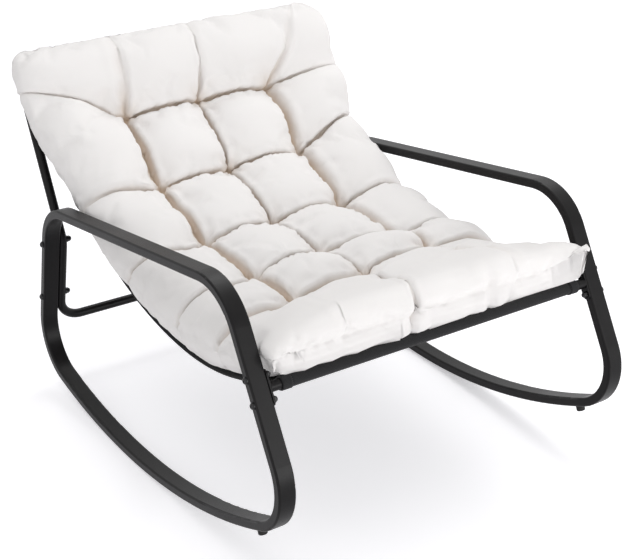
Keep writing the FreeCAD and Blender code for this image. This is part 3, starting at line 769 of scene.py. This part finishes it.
column_depth = np.where(front_row[:, :1], column_depths(depth_to_front),
                        np.where(top_row[:, :1], column_depths(depth_to_top), 1.0))
depth_u = (np.take_along_axis(column_depth, column_cell, 1) * (1 - u)
           + np.take_along_axis(column_depth, column_cell + 1, 1) * u)
depth_v = np.where(front_row, high_depth, np.where(top_row, low_depth, cross_depth))
side_rise = 0.046 + 0.014 * on_back(along)
size = rng.uniform(0.93, 1.07, (row_count - 1, column_count - 1))
rise = np.where(at_side, side_rise, puff_rise) * size[row_cell, column_cell]
rise = np.where(top_row, top_rise, np.where(front_row, front_rise, rise))
crest = crease_rise * (1 - np.abs(across * lengthwise) ** crest_power)
height = base + crest + (rise - crease_rise) * swell(across, depth_u) * swell(lengthwise, depth_v)
height = seam + (height - seam) * fill

# Small gathers that run out from each tuft, and uneven filling
gather_ring, gather_spread = 0.026, 0.013
lump_height, any_turn = 0.0012, 6.28
tuft_x, tuft_along = table[1:-1, 1:-1, 0].ravel(), table[1:-1, 1:-1, 1].ravel()
gap_x, gap_along = x[..., None] - tuft_x, along[..., None] - tuft_along
tuft_gaps = np.hypot(gap_x, gap_along)
tuft_gap = tuft_gaps.min(axis=-1)
gather_count = rng.integers(7, 11, len(tuft_x))
gather_turn = np.arctan2(gap_along, gap_x) * gather_count + rng.uniform(0, any_turn, len(tuft_x))
gather = np.cos(gather_turn) * np.exp(-((tuft_gaps - gather_ring) / gather_spread) ** 2)
for lump in range(6):
    way, length, start = rng.uniform(0, math.pi), rng.uniform(0.07, 0.16), rng.uniform(0, any_turn)
    wave = np.sin((x * math.cos(way) + along * math.sin(way)) * 2 * math.pi / length + start)
    height = height + lump_height * fill * wave
print("face height", round(float(height.min()) * 1000, 1), "to", round(float(height.max()) * 1000, 1), "mm")

# %% [markdown]
# ## Cushion: face and back
# A cover is two panels sewn together round the edge. Here too the face, with its fine grid, and the plain back,
# with only some of the columns, share the points of the seam. The cover is closed, so it can hold pressure.

# %% Join the face and the back at the seam
face_points = place_at(x, along, height)
row_points, column_points = x.shape
side_columns = [0, 1, 2, 3, 4, 5, 6, 8, 10, 13, 17, 22, 28]
other_side = [column_points - 1 - i for i in side_columns]
back_columns = sorted({*side_columns, *range(36, 109, 9), *range(64, 82), *range(90, 106), *other_side})
back_x = x[:, back_columns]
first_x, last_x = back_x[:, :1], back_x[:, -1:]
first_along, last_along = plan_along[:, :1], plan_along[:, -1:]
back_along = first_along + (last_along - first_along) * (back_x - first_x) / (last_x - first_x)

# The back is flat on the sling and rounds up to the seam along its rim
rim_round, front_round = 0.040, 0.012
belly_depth = 0.024
side_rim = np.minimum(np.abs(back_x - first_x), np.abs(last_x - back_x)) / rim_round
front_rim, top_rim = (back_along - back_along.min()) / front_round, (back_along.max() - back_along) / rim_round
under = np.clip(np.minimum(side_rim, np.minimum(front_rim, top_rim)), 0, 1)
seam_line = seam_height(back_along) + np.where(front_rim < 2, 0, crease_rise) * np.clip(front_rim / 8, 0, 1)
back_height = seam_line * (1 - np.sqrt(1 - (1 - under) ** 2))
belly = belly_depth * np.sin(np.pi * np.clip(back_height / front_seam, 0, 1))
belly = belly * (1 - smooth(back_along, cushion_front, -0.32))
back_points = place_at(back_x, back_along - belly, back_height)

face_index = np.arange(x.size).reshape(x.shape)
back_index = np.full(back_x.shape, -1)
border = np.zeros(back_x.shape, bool)
border[0], border[-1], border[:, 0], border[:, -1] = True, True, True, True
back_index[border] = face_index[:, back_columns][border]
inside = ~border
back_index[inside] = x.size + np.arange(inside.sum())
points = np.concatenate([face_points.reshape(-1, 3), back_points[inside]])
faces = [tuple(f) for f in grid_faces(face_index)]
for i in range(row_points - 1):
    for j in range(len(back_columns) - 1):
        low = [back_index[i, j], back_index[i, j + 1]]
        high = [back_index[i + 1, j + 1], back_index[i + 1, j]]
        between = slice(back_columns[j], back_columns[j + 1] + 1)
        if i == 0:
            low = list(face_index[0, between])
        if i == row_points - 2:
            high = list(face_index[-1, between][::-1])
        faces.append(tuple((low + high)[::-1]))
cushion = new_object("tufted_cushion", points, faces)
plan = np.concatenate([np.stack([x, along], -1).reshape(-1, 2), np.stack([back_x + 2, back_along], -1)[inside]])
set_uv(cushion, plan)
print("cushion", len(points), "points", len(faces), "faces")

# %% [markdown]
# ## Cushion: inflate it
# The filling pushes the cover out everywhere, and only the tufts, and the seat below, hold it back. A short cloth
# simulation with pressure inside does that to the modelled form, and the cover wrinkles where it has to. Its
# movement is limited, so that the cushion keeps its size.


# %% Cloth simulation
def inflate(body, held, frames, pressure, slack, limit):
    """Cloth simulation on a body. Its points are held by weights from 0 to 1 and move no further than a limit."""
    group = body.vertex_groups.new(name="held")
    for weight in np.unique(np.round(held, 2)):
        if weight > 0:
            group.add([int(i) for i in np.nonzero(np.abs(held - weight) < 0.005)[0]], float(weight), "REPLACE")
    start = np.empty(len(body.data.vertices) * 3)
    body.data.vertices.foreach_get("co", start)
    cloth = body.modifiers.new("cloth", "CLOTH")
    setting = cloth.settings
    setting.quality = 5
    setting.mass = 0.15
    setting.tension_stiffness = setting.compression_stiffness = 20
    setting.shear_stiffness = 6
    setting.bending_stiffness = 0.3
    setting.use_pressure = True
    setting.uniform_pressure_force = pressure
    setting.shrink_min = -slack
    setting.vertex_group_mass = "held"
    setting.effector_weights.gravity = 0
    cloth.collision_settings.use_collision = False
    cloth.collision_settings.use_self_collision = False
    cloth.point_cache.frame_start, cloth.point_cache.frame_end = 1, frames
    for number in range(1, frames + 1):
        scene.frame_set(number)
    moved = np.empty(len(body.data.vertices) * 3)
    body.evaluated_get(bpy.context.evaluated_depsgraph_get()).data.vertices.foreach_get("co", moved)
    body.modifiers.clear()
    scene.frame_set(1)
    body.vertex_groups.clear()
    start, moved = start.reshape(-1, 3), moved.reshape(-1, 3)
    step = moved - start
    far = np.linalg.norm(step, axis=1)
    print("simulated move", np.round(np.percentile(far, [5, 50, 95, 100]) * 1000, 1), "mm")
    step *= np.minimum(1, limit / np.maximum(far, 1e-9))[:, None]
    body.data.vertices.foreach_set("co", (start + step).ravel())
    body.data.update()


# The tufts and the flat of the back are held fully, the seam mostly, and the creases by how deep they are
crease_hold, side_hold, end_hold = 0.65, 0.6, 0.8
at_crease, at_tuft = 0.03, 0.007
gap_u = 1 - np.where(at_side, np.maximum(-across, -0.9), np.abs(across))
gap_v = 1 - np.where(ends, -lengthwise, np.abs(lengthwise))
on_crease = np.maximum((gap_u < at_crease) * depth_u, (gap_v < at_crease) * depth_v)
face_hold = crease_hold * on_crease * np.where(ends, 1 - smooth(share, 0.5, 0.8), 1)
face_hold[tuft_gap < at_tuft] = 1.0
face_hold[:, [0, -1]], face_hold[[0, -1], :] = side_hold, end_hold
hold = np.concatenate([face_hold.ravel(), np.where(under[inside] > 0.6, 1.0, 0.0)])
furthest, less_in_front = 0.015, 0.005
limits = np.full(len(points), furthest)
limits[:x.size] -= less_in_front * smooth(np.where(front_row, share, 0), 0, 0.3).ravel()
inflate(cushion, hold, frames=14, pressure=4.0, slack=0.04, limit=limits)

# %% [markdown]
# ## Cushion: gathers, creases and seam
# Where the thread pulls the cover down, the cloth gathers in small folds that run out from the tuft. The creases
# are pressed deeper, their walls closer together, and the seam round the edge stands out as a thin ridge. Moving
# the points of the inflated cover along their normals does all of it.

# %% Details of the cover
tuft_gather, crease_press, wall_push = 0.0020, 0.005, 0.0045
seam_groove, seam_ridge = 0.0008, 0.0014
fold_width, ridge_place, ridge_width, ridge_share = 0.007, 0.019, 0.011, 0.4
middle_fold, far_fold, far_fold_x = 0.006, 0.008, 0.105


def beside_crease(place, width):
    """1 at a share of the way from a crease to the crown of its puff, and less on both sides of that."""
    return np.maximum(depth_u * np.exp(-((gap_u - place) / width) ** 2),
                      depth_v * np.exp(-((gap_v - place) / width) ** 2))


def gathers(gap, depth):
    """Fold drawn in at the seam, with a small ridge on each side of it."""
    ridges = ridge_share * np.exp(-((np.abs(gap) - ridge_place) / ridge_width) ** 2)
    return depth * (np.exp(-(gap / fold_width) ** 2) - ridges)


def front_folds(across_chair, middle_x):
    """Both folds of the front edge: at the end of the middle crease, and between it and the far side."""
    return gathers(across_chair - middle_x, middle_fold) + gathers(across_chair - far_fold_x, far_fold)


count = len(cushion.data.vertices)
final, normals = np.empty(count * 3), np.empty(count * 3)
cushion.data.vertices.foreach_get("co", final)
cushion.data.vertex_normals.foreach_get("vector", normals)
final, normals = final.reshape(-1, 3), normals.reshape(-1, 3)
push = tuft_gather * gather.sum(axis=-1) - crease_press * beside_crease(0, 0.05)
push = push + wall_push * beside_crease(0.13, 0.06)
middle = 2 * puff_steps
push -= front_folds(x, x[:, [middle]]) * np.where(front_row, smooth(share, 0.70, 0.92), 0)
for lines, out in (([1, -2], -seam_groove), ([0, -1], seam_ridge)):
    push[lines, :] += out
    push[:, lines] += out
lip = front_folds(back_x, x[0, middle]) * (1 - smooth(back_along - back_along.min(), 0, 0.03))
final[push.size:] -= normals[push.size:] * lip[inside][:, None]
final[:push.size] += normals[:push.size] * push.reshape(-1, 1)
cushion.data.vertices.foreach_set("co", final.ravel())
cushion.data.update()
print("details from", round(float(push.min()) * 1000, 1), "to", round(float(push.max()) * 1000, 1), "mm")

# %% [markdown]
# ## Cushion cover
# The cover is an ivory cotton weave. In the creases the cloth only sees other cloth, so the light there turns a
# warm beige, and that shade is painted into the cover's colour: a number stored on each point says how deep in a
# crease or how near a tuft it is, and so how much painted shade it gets.

# %% Ivory weave
# painted shade: the warm beige that creases and tufts get in the cover's colour, how fast it fades and how strong
crease_fade, tuft_shade_fade, crease_shade_strength = 0.04, 0.010, 0.85
crease_shade_share = np.maximum(depth_u ** 2 * np.exp(-gap_u / crease_fade),
                          depth_v ** 2 * np.exp(-gap_v / crease_fade))
crease_shade_share = np.clip(np.maximum(crease_shade_share * crease_shade_strength, np.exp(-tuft_gap / tuft_shade_fade)), 0, 1)
crease_shade_values = np.concatenate([crease_shade_share.ravel(), np.zeros(inside.sum())]).astype(np.float32)
cushion.data.attributes.new("crease", "FLOAT", "POINT").data.foreach_set("value", crease_shade_values)
# the crease colour is the painted warm shade of the creases and the tufts
ivory = woven("ivory_cloth", dark=(0.845, 0.825, 0.815), light=(0.875, 0.855, 0.845),
              pitch=0.0011, bump=0.35, roughness=0.9, crease=(0.62, 0.47, 0.33))
cushion.data.materials.append(ivory)
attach(cushion, "cushion")
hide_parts("cushion")
print("crease tint on", int((crease_shade_share > 0.5).sum()), "points")

# %% [markdown]
# ## Cushion: ties
# At every tuft a stitch of thick ivory thread ties the face to the back. It lies across the deepest point, so it is
# placed when the cover has its final form.

# %% Threads of the tufts
half_tie, tie_lift = 0.004, 0.001
tuft_spots = []
for tuft in range(len(tuft_x)):
    spot = int(np.argmin(tuft_gaps[..., tuft]))
    sideways = final[spot + 1] - final[spot - 1]
    sideways /= np.linalg.norm(sideways)
    tuft_spots.append([final[spot] + sideways * end + (0, 0, tie_lift) for end in (-half_tie, half_tie)])
ivory_thread = coated("ivory_thread", dark=(0.60, 0.52, 0.43), light=(0.74, 0.66, 0.56),
                      roughness=0.80, grain=3000.0, bump=0.5, dust_and_top_light_strength=0.0, gloss=0.2)
tuft_threads = stitches("tuft_threads", tuft_spots, ivory_thread, spacing=0.0026, length=0.0046, width=0.0013)
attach(tuft_threads, "cushion")

# %% [markdown]
# ## Sizes
# The box of everything that is shown, the soft pieces with it, is measured at the end and printed. It has to stay
# close to the box of the part.

# %% Sizes
low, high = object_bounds()
print("visual box", [round(value, 3) for value in (*low, *high)])
